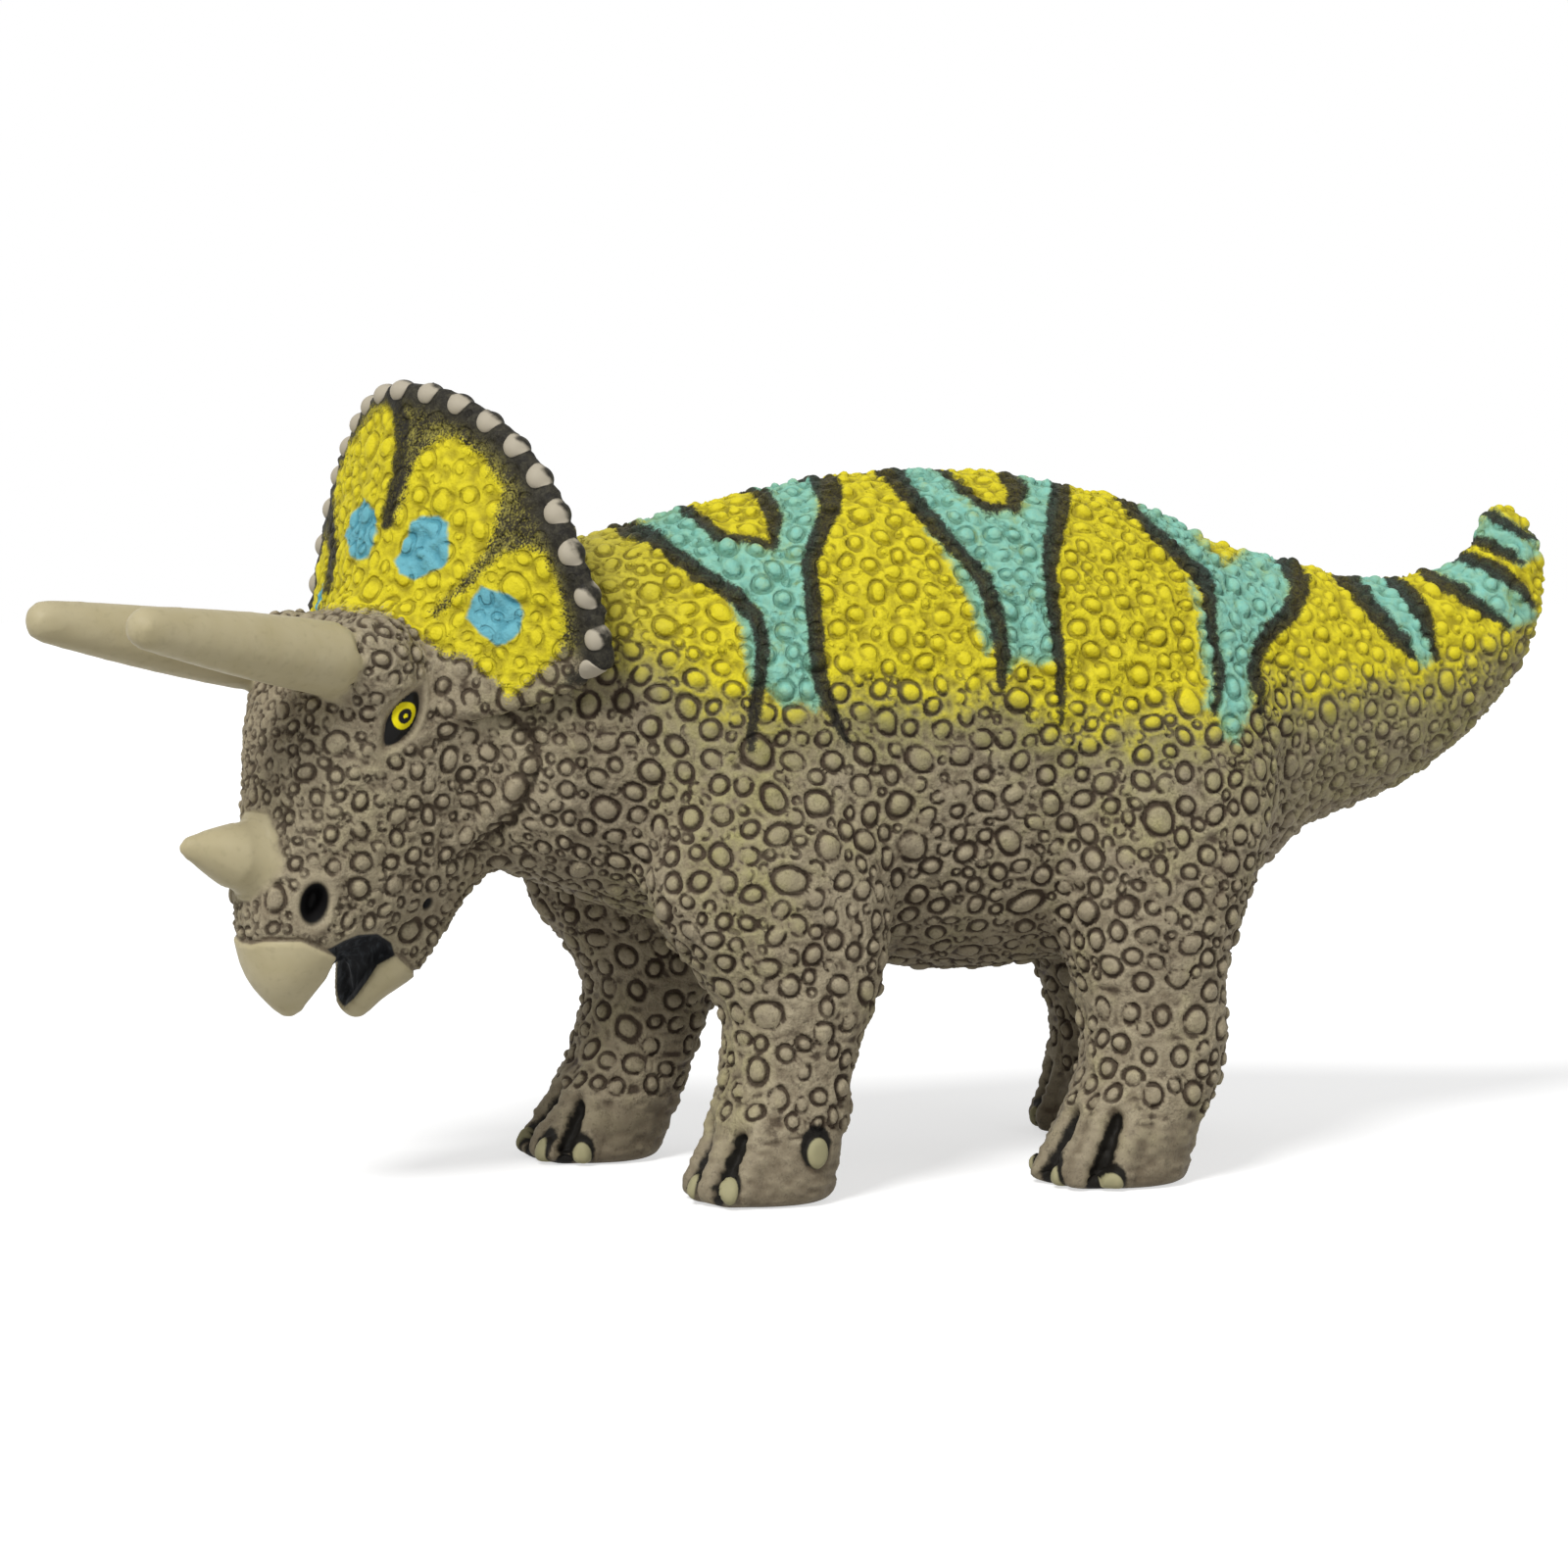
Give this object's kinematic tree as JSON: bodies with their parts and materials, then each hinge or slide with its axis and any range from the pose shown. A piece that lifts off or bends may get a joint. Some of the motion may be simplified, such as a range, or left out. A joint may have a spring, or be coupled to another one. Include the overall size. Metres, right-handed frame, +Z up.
{
  "type": "toy dinosaur figure",
  "caption": "Static soft vinyl toy of a three-horned, frilled dinosaur walking on flat feet, with raised round scales and painted stripes.",
  "frame": {"origin": "on the ground under the middle of the figure's box", "axes": "+Z up, the head faces -X and the tail points to +X, the animal's left side faces -Y"},
  "size_m": [0.2324, 0.0692, 0.1158],
  "materials": {
    "skin": "grey-brown soft vinyl with a dark wash in its grooves, satin-matt",
    "back_paint": "grey-brown soft vinyl with yellow and turquoise paint and black stripes, satin-matt",
    "frill_paint": "yellow paint with blue spots and a black rim band, satin-matt",
    "horn": "smooth tan vinyl, satin"
  },
  "bodies": {
    "root": {"torso_left_shell": "back_paint", "torso_right_shell": "back_paint", "tail": "back_paint", "head": "skin", "frill": "frill_paint", "lower_jaw": "skin", "brow_horn_left": "horn", "brow_horn_right": "horn", "nose_horn": "horn", "front_left_leg": "skin", "front_right_leg": "skin", "hind_left_leg": "skin", "hind_right_leg": "skin"}
  },
  "joints": []
}
